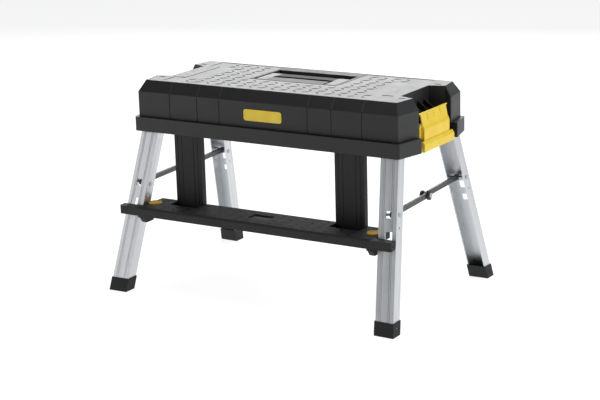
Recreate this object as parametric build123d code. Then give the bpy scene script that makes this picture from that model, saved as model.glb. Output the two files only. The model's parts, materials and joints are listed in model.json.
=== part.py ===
from build123d import *
import math
import os

# Folding work platform bench. Millimetres, +Z up, +X along the length, +Y to the back.
# The origin is on the floor, midway between the four feet.

# Platform box: a tray below and a lift-off lid above. Half sizes at the rim's corners.
BOX_X = 335.0
BOX_Y = 155.0
FAR = 2000.0  # beyond the bench on every side
RIM_BOTTOM = 355.0
RIM_TOP = RIM_BOTTOM + 32.0
LID_SHOULDER = RIM_TOP + 56.5
TOP = LID_SHOULDER + 24.5
BULGE_Y = 87.0
EAR_BULGE_Y = 79.0
RIM_CORNER = (BOX_X, BOX_Y)
RIM_BULGE = (BOX_X + 16.0, BULGE_Y)
LID_CORNER = (BOX_X - 6.0, BOX_Y - 9.5)
LID_BULGE = (BOX_X + 5.0, EAR_BULGE_Y)
TOP_CORNER = (BOX_X - 17.0, BOX_Y - 26.5)
TOP_BULGE = (BOX_X - 8.5, EAR_BULGE_Y)
WALL = 3.0
RIM_SOFT = 5.0
LID_SEAT_GAP = 0.3
WELL_X = BOX_X - 85.0
WELL_FRONT = -BOX_Y + 65.0
WELL_BACK = BOX_Y - 17.0
WELL_FLOOR = RIM_BOTTOM + 8.0
STORE_WALL_TOP = LID_SHOULDER - 13.5
LATCH_RECESS_X = BOX_X - 42.5
LATCH_RECESS_MOUTH_X = TOP_BULGE[0]
LATCH_RECESS_Y = (64.0, 75.0)
FIN_Y = (-42.0, -14.0, 14.0, 42.0)
FIN_T = 4.0
FIN_REACH = 30.0
FIN_LOW = RIM_TOP + 24.0
FIN_HIGH = LID_SHOULDER + 2.0
FRONT_GROOVES = (112.0, 170.5, 244.0)
GROOVE_W = 2.2
LID_GROOVE_DEPTH = 1.1
EAR_SLOT = (BOX_X - 37.0, BOX_X - 22.0, 80.5, 86.0, 1.6)
LEG_TOP_ROOM = RIM_TOP + 20.0
LEG_ROOM_BACK = BOX_Y - 22.0
BAY_MARGIN = 8.0

# Legs: open channels, leaning out along the length and across the depth
LEG_X = BOX_X - 8.0
LEG_Y = BOX_Y - 14.5
SPLAY_X = 0.102
SPLAY_Y = 0.287
WEB = 42.4
FLANGE = 26.5
GAUGE = 2.5
LEG_END = 8.5
PIVOT_OFFSET = 5.0
FRONT_PIVOT_Z = RIM_BOTTOM + 5.0
REAR_PIVOT_Z = RIM_BOTTOM + 28.0
GROOVE_DEPTH = 0.6
GROOVE_HALF = 0.8
GROOVE_INSETS = (9.0, 12.5)
HEEL_R = 5.0
LOWER_HOLE_R = 2.6
LOWER_HOLE_DROP = 26.0
FRONT_WINDOWS = ((231.0, 245.0, -4.6, 8.4), (181.0, 204.0, -4.6, 11.4))
REAR_WINDOWS = ((216.0, 232.0, -6.0, 6.0), (186.0, 200.0, -6.0, 6.0))
FOOT_TOP = 29.0
FOOT_SOLE = 4.0
FOOT_PROUD = 1.8
FOOT_GAP = 0.15
PLUG_DROP = 8.0
PLUG_WALL = 6.0

# Fold of the legs, in degrees from straight down, measured across the depth
FRONT_FOLDED = 78.5
REAR_FOLDED = 80.0
STEP_SWING = 60.0

# Steel hinge plates beside the leg tops
PLATE = 2.0
PLATE_GAP = 0.3
PLATE_EDGE = 3.8
PIN_R = 4.0
RIVET_R = 3.0
RUN_GAP = 0.05
SLOT_GAP = 0.08
RIVET_HEAD_R = 5.2
RIVET_HEAD = 1.1
OUTER_N = PLATE_GAP
INNER_N = -WEB - PLATE_GAP - PLATE
RIB_LOW = 4.0
PAD_TOP = 28.0
PAD_OUT = 40.0
FRONT_PAD = 40.0
REAR_PAD_START = 92.0
HINGE_PIN_HEAD = (7.0, 3.9)

# Folding spreader bars
SPREAD_Z_FRONT = 240.0
SPREAD_Z_REAR = 248.0
BAR_H = 11.0
BAR_T = 6.0
BAR_END_R = 7.0
BAR_GAP = 0.4
BAR_N = -20.9
KNUCKLE_R = 10.5
KNUCKLE_T = 3.5
BOLT_HEAD = (5.5, 3.4)

TILT = math.atan(SPLAY_X)
LEAN = math.atan(SPLAY_Y * math.cos(TILT))

# Lower step and the two struts that carry it
STEP_TOP = 195.0
STEP_T = 20.0
LIP_T = 21.4
LIP_GAP = 1.4
LEG_FRONT_AT_STEP = -LEG_Y - (RIM_BOTTOM - STEP_TOP + STEP_T) / math.cos(TILT) * math.tan(LEAN)
LIP_BACK = LEG_FRONT_AT_STEP - LIP_GAP
STEP_FRONT = LIP_BACK - LIP_T
STEP_BACK = STEP_FRONT + 94.0
STEP_DECK = 3.5
STEP_WALL = 4.0
STEP_END_GAP = 2.4
STEP_WAIST_Y = STEP_FRONT + 65.0
STEP_PASS_Z = 250.0
STEP_PASS_GAP = 1.3
STEP_END_X = LEG_X - WEB + SPLAY_X * (RIM_BOTTOM - STEP_TOP) - STEP_END_GAP
STEP_WAIST_X = LEG_X - WEB + SPLAY_X * (RIM_BOTTOM - STEP_PASS_Z) - STEP_PASS_GAP
RIB_X = (-140.0, -70.0, 0.0, 70.0, 140.0)
RIB_Y = STEP_FRONT + 30.0
RIB_T = 2.5
FINGER_RECESS = (26.0, STEP_FRONT + 37.0, STEP_FRONT + 67.0, 2.6)
GUSSET_T = 13.0
GUSSET_DROP = 19.0
LIP_END = LEG_X + 19.0
STRUT_X = (171.2, 242.3)
STRUT_T = 14.0
STRUT_Y = STEP_BACK - 8.0
STRUT_TOP_Z = RIM_BOTTOM + 12.0
STEP_HINGE_Z = STEP_TOP - 10.0
STRUT_SIDE_GAP = 1.2
STRUT_EAR = 5.0
TREAD = 0.8
TREAD_GAP = 0.5
TREAD_X = (BOX_X - 83.0, BOX_X - 56.0)
TREAD_Y = BOX_Y - 33.0
EAR_Y = 69.0
BUTTON_R = 15.6
BUTTON_X = STEP_END_X - BUTTON_R - 1.9
BUTTON_Y = STEP_FRONT + 49.0
BUTTON_GAP = 0.5
BUTTON_TRAVEL = 5.0
BUTTON_PROUD = 2.5
BOLT_W = 12.0
BOLT_H = 4.4
BOLT_GAP = 0.6
GUIDE_T = 2.0
GUIDE_FLOOR = 1.6
GUIDE_REACH = 24.0
SLEEVE_T = 2.4

# Carrying handle in the top
PANEL_X = 112.0
PANEL_Y = (-21.0, 124.0)
PANEL_GAP = 0.6
WELL_HANDLE_X = 103.0
WELL_HANDLE_Y = (14.0, 93.0)
HANDLE_AXIS = (-8.0, TOP - 9.8)
HANDLE_R = 8.4
HANDLE_REACH = 64.0
GRIP_DEPTH = 31.0
ARM_X = (76.0, 100.0)
HANDLE_PIN_R = 3.0
HANDLE_FLOOR = TOP - 27.0
BADGE = (48.0, LID_SHOULDER - 41.0, LID_SHOULDER - 16.0, 0.8, 6.0)

# End latches
LATCH_AXIS = (BOX_X + 8.0, RIM_BOTTOM + 6.0)
LATCH_BAR_Y = 72.0
LATCH_Y = 66.0
LATCH_TOP = RIM_BOTTOM + 83.0
LATCH_LEAN = 10.0
LATCH_PIN_R = 2.5
LATCH_PIN_SEAT = 2.5
LATCH_T = 4.0
LATCH_NECK = 28.0
LATCH_BAR = (4.6, 6.0, 8.0, 10.0)
POCKET_BACK = BOX_X - 4.0
POCKET_Y = 84.0

SIDE = Plane(origin=(LEG_X, 0, RIM_BOTTOM), x_dir=(0, 1, 0), z_dir=(math.cos(TILT), 0, math.sin(TILT)))


def block(x0, x1, y0, y1, z0, z1):
    """A box between two corners."""
    centre = Pos((x0 + x1) / 2, (y0 + y1) / 2, (z0 + z1) / 2)
    return centre * Box(x1 - x0, y1 - y0, z1 - z0)


def prism(points, z0, z1):
    """A plan outline raised from z0 to z1."""
    return Pos(0, 0, z0) * extrude(make_face(Polyline(*points, close=True)), z1 - z0)


def both_ends(corner, bulge, inset=0.0):
    """The eight-cornered plan outline of the tray and lid."""
    cx, cy = corner[0] - inset, corner[1] - inset
    bx, by = bulge[0] - inset, bulge[1]
    return [(-cx, -cy), (cx, -cy), (bx, -by), (bx, by), (cx, cy), (-cx, cy), (-bx, by), (-bx, -by)]


def x_rod(y, z, r, x0, x1):
    """A round bar along X."""
    return Pos((x0 + x1) / 2, y, z) * Rot(0, 90, 0) * Cylinder(r, x1 - x0)


def y_rod(x, z, r, y0, y1):
    """A round bar along Y."""
    return Pos(x, (y0 + y1) / 2, z) * Rot(90, 0, 0) * Cylinder(r, y1 - y0)


def yz_prism(points, x0, x1):
    """An outline in Y and Z, carried along X."""
    face = make_face(Polyline(*points, close=True))
    frame = Plane(origin=(x0, 0, 0), x_dir=(0, 1, 0), z_dir=(1, 0, 0))
    return frame.location * extrude(face, x1 - x0)


def xz_prism(points, y0, y1):
    """An outline in X and Z, carried along Y."""
    face = make_face(Polyline(*points, close=True))
    frame = Plane(origin=(0, y1, 0), x_dir=(1, 0, 0), z_dir=(0, -1, 0))
    return frame.location * extrude(face, y1 - y0)


def side_prism(points, n0, n1):
    """An outline in the plane of the right-hand legs, from depth n0 to n1 outward."""
    face = make_face(Polyline(*points, close=True))
    return SIDE.location * Pos(0, 0, n0) * extrude(face, n1 - n0)


def side_rod(point, r, n0, n1):
    """A round bar square to the plane of the right-hand legs."""
    return SIDE.location * Pos(point[0], point[1], (n0 + n1) / 2) * Cylinder(r, n1 - n0)


def to_right(shape):
    """The right-hand piece, as it is drawn."""
    return shape


def to_left(shape):
    """The left-hand twin."""
    return mirror(shape, about=Plane.YZ)


def to_back(shape):
    """The rear twin."""
    return mirror(shape, about=Plane.XZ)


def height(z):
    """Height up the legs' plane, from the rim's lower edge."""
    return (z - RIM_BOTTOM) / math.cos(TILT)


def on_leg(offset, v):
    """A point of a front leg at a depth behind its web, at height v up the plane."""
    y0 = -LEG_Y + offset * math.cos(LEAN)
    v0 = -offset * math.sin(LEAN)
    return (y0 + (v - v0) * math.tan(LEAN), v)


FRONT_PIVOT = on_leg(FLANGE / 2 + PIVOT_OFFSET, height(FRONT_PIVOT_Z))
REAR_PIVOT = on_leg(FLANGE / 2 + PIVOT_OFFSET, height(REAR_PIVOT_Z))
FRONT_SPREAD = on_leg(FLANGE / 2, height(SPREAD_Z_FRONT))
REAR_SPREAD = on_leg(FLANGE / 2, height(SPREAD_Z_REAR))


def turned(point, centre, degrees):
    """A point of the legs' plane, turned about a centre."""
    c, s = math.cos(math.radians(degrees)), math.sin(math.radians(degrees))
    y, v = point[0] - centre[0], point[1] - centre[1]
    return (centre[0] + c * y - s * v, centre[1] + s * y + c * v)


def rear_slide():
    """How far the rear pivot slides so that the folded spreader lies along the legs."""
    start = (-REAR_PIVOT[0], REAR_PIVOT[1])
    far_pin = (-REAR_SPREAD[0], REAR_SPREAD[1])
    near = turned(FRONT_SPREAD, FRONT_PIVOT, FRONT_FOLDED + math.degrees(LEAN))
    far = turned(far_pin, start, REAR_FOLDED - math.degrees(LEAN))
    middle = math.radians((FRONT_FOLDED + REAR_FOLDED) / 2)
    return far[0] - near[0] - (far[1] - near[1]) / math.tan(middle)


SLIDE = rear_slide()
SPREAD_HALF = math.dist(FRONT_SPREAD, (-REAR_SPREAD[0], REAR_SPREAD[1])) / 2


def leg_frame(pivot):
    """A frame at a front leg's pivot: +X to the open side, -Y down the leg, +Z outward."""
    return SIDE.location * Pos(pivot[0], pivot[1], 0) * Rot(0, 0, -math.degrees(LEAN))


def down_leg(pivot, z):
    """Distance from a pivot down the leg to height z."""
    return (pivot[1] - height(z)) / math.cos(LEAN)


def leg_box(pivot, x0, x1, y0, y1, n0, n1):
    """A box in a leg's own frame."""
    return leg_frame(pivot) * block(x0, x1, y0, y1, n0, n1)


def leg(pivot, spread, windows):
    """An open aluminium channel with its rivet holes and web windows, drawn as a front leg."""
    web_face = -FLANGE / 2 - PIVOT_OFFSET
    open_edge = FLANGE / 2 - PIVOT_OFFSET
    foot = -down_leg(pivot, 0) - FLANGE
    body = leg_box(pivot, web_face, open_edge, foot, LEG_END, -WEB, 0)
    across = body.edges().filter_by(Axis(SIDE.origin, SIDE.z_dir))
    body = fillet(across.sort_by(Axis.Z)[-2:], HEEL_R)
    body -= leg_box(pivot, web_face + GAUGE, open_edge + 5, foot - 1, LEG_END + 5, -WEB + GAUGE, -GAUGE)
    for inset in GROOVE_INSETS:
        for n in (-WEB + inset, -inset):
            body -= leg_box(pivot, web_face - 1, web_face + GROOVE_DEPTH, foot - 1, LEG_END + 1,
                            n - GROOVE_HALF, n + GROOVE_HALF)
    for low, high, n0, n1 in windows:
        y0, y1 = -down_leg(pivot, low), -down_leg(pivot, high)
        body -= leg_box(pivot, web_face - 1, web_face + GAUGE + 1, y0, y1, -WEB / 2 + n0, -WEB / 2 + n1)
    body -= side_rod(pivot, PIN_R + RUN_GAP, -WEB - 5, 5)
    body -= side_rod(spread, RIVET_R + RUN_GAP, -WEB - 5, 5)
    lower_hole = on_leg(FLANGE / 2, spread[1] - LOWER_HOLE_DROP)
    body -= side_rod(lower_hole, LOWER_HOLE_R, -WEB - 5, 5)
    return body & block(0, FAR, -FAR, FAR, FOOT_SOLE, FAR)


def foot_cap(pivot):
    """A moulded shoe around a leg's end, with a plug up inside the channel."""
    web_face = -FLANGE / 2 - PIVOT_OFFSET
    open_edge = FLANGE / 2 - PIVOT_OFFSET
    low = -down_leg(pivot, 0) - FLANGE
    high = -down_leg(pivot, FOOT_TOP) + FLANGE
    p = FOOT_PROUD
    g = FOOT_GAP
    shell = leg_box(pivot, web_face - p, open_edge + p, low, high, -WEB - p, p)
    shell &= block(0, FAR, -FAR, FAR, 0, FOOT_TOP)
    socket = leg_box(pivot, web_face - g, open_edge + g, low, high, -WEB - g, g)
    socket &= block(0, FAR, -FAR, FAR, FOOT_SOLE, FOOT_TOP + 1)
    plug = leg_box(pivot, web_face + GAUGE + g, open_edge, low, high, -WEB + GAUGE + g, -GAUGE - g)
    plug &= block(0, FAR, -FAR, FAR, FOOT_SOLE - 1, FOOT_TOP - PLUG_DROP)
    hollow = GAUGE + PLUG_WALL
    plug -= leg_box(pivot, web_face + hollow, open_edge + 2, low, high, -WEB + hollow, -hollow)
    cap = shell - socket + plug
    mid = -down_leg(pivot, FOOT_TOP / 2)
    return cap - leg_box(pivot, -6, 2, mid - 1.2, mid + 1.2, -g - 0.01, p + 1)


def rivet(point):
    """A rivet across both flanges of a leg, with a low head at each end."""
    shank = side_rod(point, RIVET_R, -WEB - RIVET_HEAD, RIVET_HEAD)
    outer_head = side_rod(point, RIVET_HEAD_R, 0.02, RIVET_HEAD)
    inner_head = side_rod(point, RIVET_HEAD_R, -WEB - RIVET_HEAD, -WEB - 0.02)
    return shank + outer_head + inner_head


def plate_outline():
    """Hinge plate: a long strip round the slot, with a lobe down to the front pivot."""
    rear = -REAR_PIVOT[0]
    reach = PIN_R + SLOT_GAP + PLATE_EDGE
    low, high = REAR_PIVOT[1] - reach, REAR_PIVOT[1] + reach
    front = rear - SLIDE - reach
    lobe = PIN_R + PLATE_EDGE
    return [(front, high), (rear + reach, high), (rear + reach, low), (FRONT_PIVOT[0] + 16, low),
            (FRONT_PIVOT[0] + lobe, FRONT_PIVOT[1] - lobe), (FRONT_PIVOT[0] - lobe, FRONT_PIVOT[1] - lobe),
            (front, low)]


def hinge_plate(n0):
    """A steel plate with the front pivot's hole and the rear pivot's slot."""
    n1 = n0 + PLATE
    plate = side_prism(plate_outline(), n0, n1)
    rear = -REAR_PIVOT[0]
    r = PIN_R + SLOT_GAP
    v = REAR_PIVOT[1]
    corners = [(rear - SLIDE, v - r), (rear, v - r), (rear, v + r), (rear - SLIDE, v + r)]
    slot = side_prism(corners, n0 - 1, n1 + 1)
    slot += side_rod((rear - SLIDE, v), r, n0 - 1, n1 + 1) + side_rod((rear, v), r, n0 - 1, n1 + 1)
    plate -= slot
    return plate - side_rod(FRONT_PIVOT, PIN_R + RUN_GAP, n0 - 1, n1 + 1)


def bar(start, end, n0, n1):
    """A spreader half between two pin centres, with round ends."""
    angle = math.degrees(math.atan2(end[1] - start[1], end[0] - start[0]))
    frame = SIDE.location * Pos(start[0], start[1], 0) * Rot(0, 0, angle)
    length = math.dist(start, end)
    body = frame * block(0, length, -BAR_H / 2, BAR_H / 2, n0, n1)
    body += frame * Pos(0, 0, (n0 + n1) / 2) * Cylinder(BAR_END_R, n1 - n0)
    body += frame * Pos(length, 0, (n0 + n1) / 2) * Cylinder(BAR_END_R, n1 - n0)
    return body - side_rod(start, RIVET_R + RUN_GAP, n0 - 1, n1 + 1)


def spreader_middle():
    """Centre of the spreader's middle joint."""
    return ((FRONT_SPREAD[0] - REAR_SPREAD[0]) / 2, (FRONT_SPREAD[1] + REAR_SPREAD[1]) / 2)


def spreader_front():
    """The half that is riveted to a front leg."""
    middle = spreader_middle()
    n0 = BAR_N + BAR_GAP / 2
    half = bar(FRONT_SPREAD, middle, n0, n0 + BAR_T)
    return half - side_rod(middle, RIVET_R + RUN_GAP, n0 - 1, n0 + BAR_T + 1)


def spreader_rear():
    """The half that is riveted to a rear leg, with its own boss at the middle joint."""
    middle = spreader_middle()
    n1 = BAR_N - BAR_GAP / 2
    half = bar((-REAR_SPREAD[0], REAR_SPREAD[1]), middle, n1 - BAR_T, n1)
    return half + side_rod(middle, KNUCKLE_R, n1 - BAR_T - KNUCKLE_T, n1 - BAR_T + 0.01)


def knuckle():
    """Black cover on the front half, over the middle joint."""
    n0 = BAR_N + BAR_GAP / 2 + BAR_T
    cover = side_rod(spreader_middle(), KNUCKLE_R, n0, n0 + KNUCKLE_T)
    return cover - side_rod(spreader_middle(), RIVET_R + RUN_GAP, n0 - 1, n0 + KNUCKLE_T + 1)


def knuckle_bolt():
    """Bolt of the middle joint, held in the front half."""
    middle = spreader_middle()
    n0 = BAR_N + BAR_GAP / 2
    n1 = n0 + BAR_T + KNUCKLE_T
    head_r, head_t = BOLT_HEAD
    return side_rod(middle, RIVET_R, n0, n1 + 0.5) + side_rod(middle, head_r, n1 + 0.01, n1 + head_t)


def rim_solid(inset, z0, z1):
    """The tray's plan shape as a solid."""
    return prism(both_ends(RIM_CORNER, RIM_BULGE, inset), z0, z1)


def base_tray():
    """Moulded tray: skirt, deck, storage well and the two mechanism bays."""
    rim = rim_solid(0, RIM_BOTTOM, RIM_TOP)
    rim = fillet(rim.edges().filter_by(Axis.Z), RIM_SOFT)
    tray = rim - rim_solid(WALL, RIM_BOTTOM - 1, RIM_TOP - WALL)
    well = block(-WELL_X, WELL_X, WELL_FRONT, WELL_BACK, WELL_FLOOR, RIM_TOP)
    well_x = WELL_X + WALL
    tray += block(-well_x, well_x, WELL_FRONT - WALL, WELL_BACK + WALL, WELL_FLOOR - WALL, RIM_TOP)
    wall_y = LID_CORNER[1] - WALL - 1.5
    tray += block(-well_x, well_x, -wall_y, wall_y, RIM_TOP - 1, STORE_WALL_TOP)
    tray -= block(-WELL_X, WELL_X, -wall_y + WALL, wall_y - WALL, RIM_TOP, STORE_WALL_TOP + 1)
    tray -= well
    pocket = block(POCKET_BACK, FAR, -POCKET_Y, POCKET_Y, RIM_BOTTOM - 1, RIM_TOP + 1)
    wall_reach = POCKET_Y + WALL
    pocket_walls = block(POCKET_BACK - WALL, FAR, -wall_reach, wall_reach, RIM_BOTTOM, RIM_TOP) & rim
    for end in (to_right, to_left):
        tray += end(pocket_walls)
        tray -= end(pocket)
        tray -= end(bay_opening())
        tray += end(bay_walls(rim))
        tray -= end(pin_holes())
    tray += strut_ears()
    for x in STRUT_X:
        tray -= x_rod(STRUT_Y, STRUT_TOP_Z, PIN_R + RUN_GAP, x - 9, x + 9)
        tray -= x_rod(STRUT_Y, STRUT_TOP_Z, PIN_R + RUN_GAP, -x - 9, -x + 9)
    return tray


def bay_opening():
    """Opening in the deck for the leg tops and the slotted plates."""
    y0 = plate_outline()[0][0] - PLATE_EDGE + 1.4
    y1 = -REAR_PIVOT[0] + FLANGE
    return block(LEG_X - WEB - BAY_MARGIN, LEG_X + 0.2, y0, y1, RIM_BOTTOM - 1, RIM_TOP + 1)


def bay_walls(rim):
    """Inner rib and outer pads that carry the hinge plates."""
    plate = plate_outline()
    y0, y1 = plate[0][0], plate[1][0]
    top = plate[0][1]
    rib = side_prism([(y0, RIB_LOW), (y1, RIB_LOW), (y1, top), (y0, top)], INNER_N - WALL, INNER_N)
    pads = None
    for start, end in ((y0 - 2, y0 + FRONT_PAD), (REAR_PAD_START, y1)):
        pad = side_prism([(start, 0), (end, 0), (end, PAD_TOP), (start, PAD_TOP)], OUTER_N + PLATE, PAD_OUT)
        pads = pad if pads is None else pads + pad
    return rib + (pads & rim)


def pin_holes():
    """Holes for the front hinge pin and the latch pin."""
    front = side_rod(FRONT_PIVOT, PIN_R + RUN_GAP, INNER_N - WALL - 1, 12)
    reach = POCKET_Y + LATCH_PIN_SEAT
    return front + y_rod(LATCH_AXIS[0], LATCH_AXIS[1], LATCH_PIN_R + RUN_GAP, -reach, reach)


def strut_ears():
    """Four ears under the deck that hold the strut pins."""
    ears = None
    r = PIN_R + 5
    y = STRUT_Y
    for x in (STRUT_X[0] - STRUT_SIDE_GAP - STRUT_EAR, STRUT_X[1] + STRUT_SIDE_GAP):
        for x0 in (x, -x - STRUT_EAR):
            ear = block(x0, x0 + STRUT_EAR, y - r, y + r, STRUT_TOP_Z, RIM_TOP - WALL + 0.5)
            ear += x_rod(y, STRUT_TOP_Z, r, x0, x0 + STRUT_EAR)
            ears = ear if ears is None else ears + ear
    return ears


def strut():
    """A flat hollow-backed strut between the tray and the step, with round ends."""
    x0, x1 = STRUT_X
    y0, y1 = STRUT_Y - STRUT_T / 2, STRUT_Y + STRUT_T / 2
    body = block(x0, x1, y0, y1, STEP_HINGE_Z, STRUT_TOP_Z)
    body += x_rod(STRUT_Y, STEP_HINGE_Z, STRUT_T / 2, x0, x1)
    body += x_rod(STRUT_Y, STRUT_TOP_Z, STRUT_T / 2, x0, x1)
    body -= block(x0 + 5, x1 - 5, STRUT_Y - 1, y1 + 1, STEP_HINGE_Z + 22, STRUT_TOP_Z - 22)
    for x in (x0 + 9, x0 + 20, x1 - 20, x1 - 9):
        body -= block(x - 0.8, x + 0.8, y0 - 1, y0 + 0.8, STEP_HINGE_Z + 12, STRUT_TOP_Z - 12)
    for z in (STEP_HINGE_Z, STRUT_TOP_Z):
        body -= x_rod(STRUT_Y, z, PIN_R + RUN_GAP, x0 - 1, x1 + 1)
    return body


def strut_pin(z):
    """A steel pin through a strut's end and the ears beside it."""
    reach = STRUT_SIDE_GAP + STRUT_EAR
    return x_rod(STRUT_Y, z, PIN_R, STRUT_X[0] - reach, STRUT_X[1] + reach)


def step_plan(inset=0.0):
    """Plan outline of the step, narrower behind the buttons."""
    end, waist = STEP_END_X - inset, STEP_WAIST_X - inset
    front, turn, back = STEP_FRONT + inset, STEP_WAIST_Y, STEP_BACK - inset
    half = [(end, front), (end, turn), (waist, turn + end - waist), (waist, back)]
    return half + [(-x, y) for x, y in reversed(half)]


def strut_pocket(right):
    """Sloping pocket that a strut's foot turns in as the step folds."""
    x0, x1 = STRUT_X[0] - STRUT_SIDE_GAP, STRUT_X[1] + STRUT_SIDE_GAP
    r = STRUT_T / 2 + 1
    back = STRUT_Y + r + 0.4
    floor = STEP_HINGE_Z - r
    run = (STEP_TOP - floor) / math.tan(math.radians(90 - STEP_SWING)) + 4
    front = STRUT_Y - run
    above = STEP_TOP + 5
    points = [(back, floor), (STRUT_Y - 2, floor), (front, STEP_TOP + 0.01), (front, above), (back, above)]
    cut = yz_prism(points, x0, x1)
    return cut if right else to_left(cut)


def step_recess():
    """Shallow finger recess in the middle of the step."""
    half, y0, y1, depth = FINGER_RECESS
    return block(-half, half, y0, y1, STEP_TOP - depth, STEP_TOP + 5)


def button_hole(right):
    """Round hole for a release button."""
    x = BUTTON_X if right else -BUTTON_X
    return Pos(x, BUTTON_Y, STEP_TOP) * Cylinder(BUTTON_R + BUTTON_GAP, 60)


def bolt_guide(right):
    """Guide under a button for its lock bolt: a floor and two walls."""
    low = STEP_TOP - STEP_T
    x0, x1 = BUTTON_X - GUIDE_REACH, STEP_END_X - 2
    slack = BOLT_W / 2 + BOLT_GAP
    guide = block(x0, x1, BUTTON_Y - slack - GUIDE_T, BUTTON_Y + slack + GUIDE_T, low, low + GUIDE_FLOOR)
    for y in (BUTTON_Y - slack - GUIDE_T, BUTTON_Y + slack):
        guide += block(x0, x1, y, y + GUIDE_T, low, low + BOLT_H + GUIDE_T)
    return guide if right else to_left(guide)


def step_board():
    """Moulded step: deck, edge skirts and ribs, with pockets for struts and buttons."""
    low, high = STEP_TOP - STEP_T, STEP_TOP - TREAD
    board = prism(step_plan(), low, high)
    board = fillet(board.edges().filter_by(Axis.X).group_by(Axis.Y)[0].sort_by(Axis.Z)[-1], STEP_WALL)
    board -= prism(step_plan(STEP_WALL), low - 1, high - STEP_DECK)
    for x in RIB_X:
        board += block(x - RIB_T / 2, x + RIB_T / 2, STEP_FRONT + 3, STEP_BACK - 3, low + 4, high - 1)
    reach = STEP_END_X - 2
    board += block(-reach, reach, RIB_Y - RIB_T / 2, RIB_Y + RIB_T / 2, low + 4, high - 1)
    for right in (True, False):
        mass = strut_box()
        board += mass if right else to_left(mass)
        board -= strut_pocket(right)
        board += button_sleeve(right)
        board -= button_hole(right)
        board += bolt_guide(right)
    board -= step_recess()
    for x in STRUT_X:
        board -= x_rod(STRUT_Y, STEP_HINGE_Z, PIN_R + RUN_GAP, x - 8, x + 8)
        board -= x_rod(STRUT_Y, STEP_HINGE_Z, PIN_R + RUN_GAP, -x - 8, -x + 8)
    return board


def strut_box():
    """Solid mass around a strut pocket, which carries the step's hinge pin."""
    x0 = STRUT_X[0] - STRUT_SIDE_GAP - STRUT_EAR - 1
    x1 = STRUT_X[1] + STRUT_SIDE_GAP + STRUT_EAR + 1
    return block(x0, x1, STRUT_Y - 52, STEP_BACK - 2, STEP_TOP - STEP_T, STEP_TOP - TREAD - 1)


def button_sleeve(right):
    """Ring wall around a button."""
    x = BUTTON_X if right else -BUTTON_X
    low = STEP_TOP - STEP_T + 7.0
    high = STEP_TOP - TREAD - 0.5
    ring = Pos(x, BUTTON_Y, (low + high) / 2) * Cylinder(BUTTON_R + SLEEVE_T, high - low)
    end = STEP_END_X - 0.5
    return ring & block(-end, end, -FAR, FAR, 0, FAR)


def step_tread():
    """Thin moulded tread skin on the step."""
    skin = prism(step_plan(5.0), STEP_TOP - TREAD, STEP_TOP)
    for right in (True, False):
        skin -= strut_pocket(right)
        x = BUTTON_X if right else -BUTTON_X
        skin -= Pos(x, BUTTON_Y, STEP_TOP) * Cylinder(BUTTON_R + 3, 20)
    return skin - step_recess()


def step_end():
    """End cap: a lip in front of the leg and a gusset below the board."""
    low, high = STEP_TOP - STEP_T, STEP_TOP - TREAD
    end = STEP_END_X
    lip = block(end, LIP_END, STEP_FRONT, LIP_BACK, low, high)
    lip = fillet(lip.edges().filter_by(Axis.Z).sort_by(Axis.X)[-2:], RIM_SOFT)
    foot = low - GUSSET_DROP
    sides = [(STEP_FRONT + 6, low), (STEP_WAIST_Y, low), (STEP_WAIST_Y - 22, foot), (STEP_FRONT + 19, foot)]
    gusset = yz_prism(sides, end - GUSSET_T, end)
    wing = block(end - GUSSET_T, end + 1, STEP_FRONT + 6, LIP_BACK, low - 6, low)
    slot = x_rod(STEP_FRONT + 10.5, low + 9, 2.4, LIP_END - 6, LIP_END + 1)
    return lip + gusset + wing - slot


def button():
    """Release button: a shallow cap with a rim."""
    low = STEP_TOP - STEP_T + 4 + BOLT_H + BUTTON_TRAVEL
    high = STEP_TOP + BUTTON_PROUD
    cap = Pos(BUTTON_X, BUTTON_Y, (low + high) / 2) * Cylinder(BUTTON_R, high - low)
    cap = fillet(cap.edges().sort_by(Axis.Z)[-1], 1.6)
    return cap - Pos(BUTTON_X, BUTTON_Y, high) * Cylinder(BUTTON_R - 5, 1.6)


def lock_bolt():
    """Flat bolt under a button, which a press draws inward."""
    low = STEP_TOP - STEP_T + GUIDE_FLOOR + 0.2
    half = BOLT_W / 2
    return block(BUTTON_X - BUTTON_R, STEP_END_X - 4.6, BUTTON_Y - half, BUTTON_Y + half, low, low + BOLT_H)


def lid_outer():
    """Outside of the lid: upright walls and a sloping band up to the top."""
    lower = prism(both_ends(LID_CORNER, LID_BULGE), RIM_TOP + LID_SEAT_GAP, LID_SHOULDER)
    face0 = make_face(Polyline(*both_ends(LID_CORNER, LID_BULGE), close=True))
    face1 = make_face(Polyline(*both_ends(TOP_CORNER, TOP_BULGE), close=True))
    band = loft([Pos(0, 0, LID_SHOULDER) * face0, Pos(0, 0, TOP) * face1], ruled=True)
    return lower + band


def lid_inner():
    """Inside of the lid."""
    lower = prism(both_ends(LID_CORNER, LID_BULGE, WALL), RIM_TOP - 1, LID_SHOULDER)
    face0 = make_face(Polyline(*both_ends(LID_CORNER, LID_BULGE, WALL), close=True))
    face1 = make_face(Polyline(*both_ends(TOP_CORNER, TOP_BULGE, WALL), close=True))
    band = loft([Pos(0, 0, LID_SHOULDER) * face0, Pos(0, 0, TOP - WALL) * face1], ruled=True)
    return lower + band


def latch_pocket(grow):
    """Plan shape of the recess behind an end latch."""
    x0, x1 = LATCH_RECESS_X - grow, LATCH_RECESS_MOUTH_X
    y0, y1 = LATCH_RECESS_Y[0] + grow, LATCH_RECESS_Y[1] + grow
    points = [(x0, -y0), (x1, -y1), (FAR, -y1), (FAR, y1), (x1, y1), (x0, y0)]
    return prism(points, RIM_TOP - 2, TOP + 2)


def leg_room():
    """Space inside the lid for the tops of the legs at one end."""
    front = -LID_CORNER[1] + WALL
    return block(LEG_X - WEB - 12, LEG_X - 0.8, front, LEG_ROOM_BACK, RIM_TOP - 1, LEG_TOP_ROOM)


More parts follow.
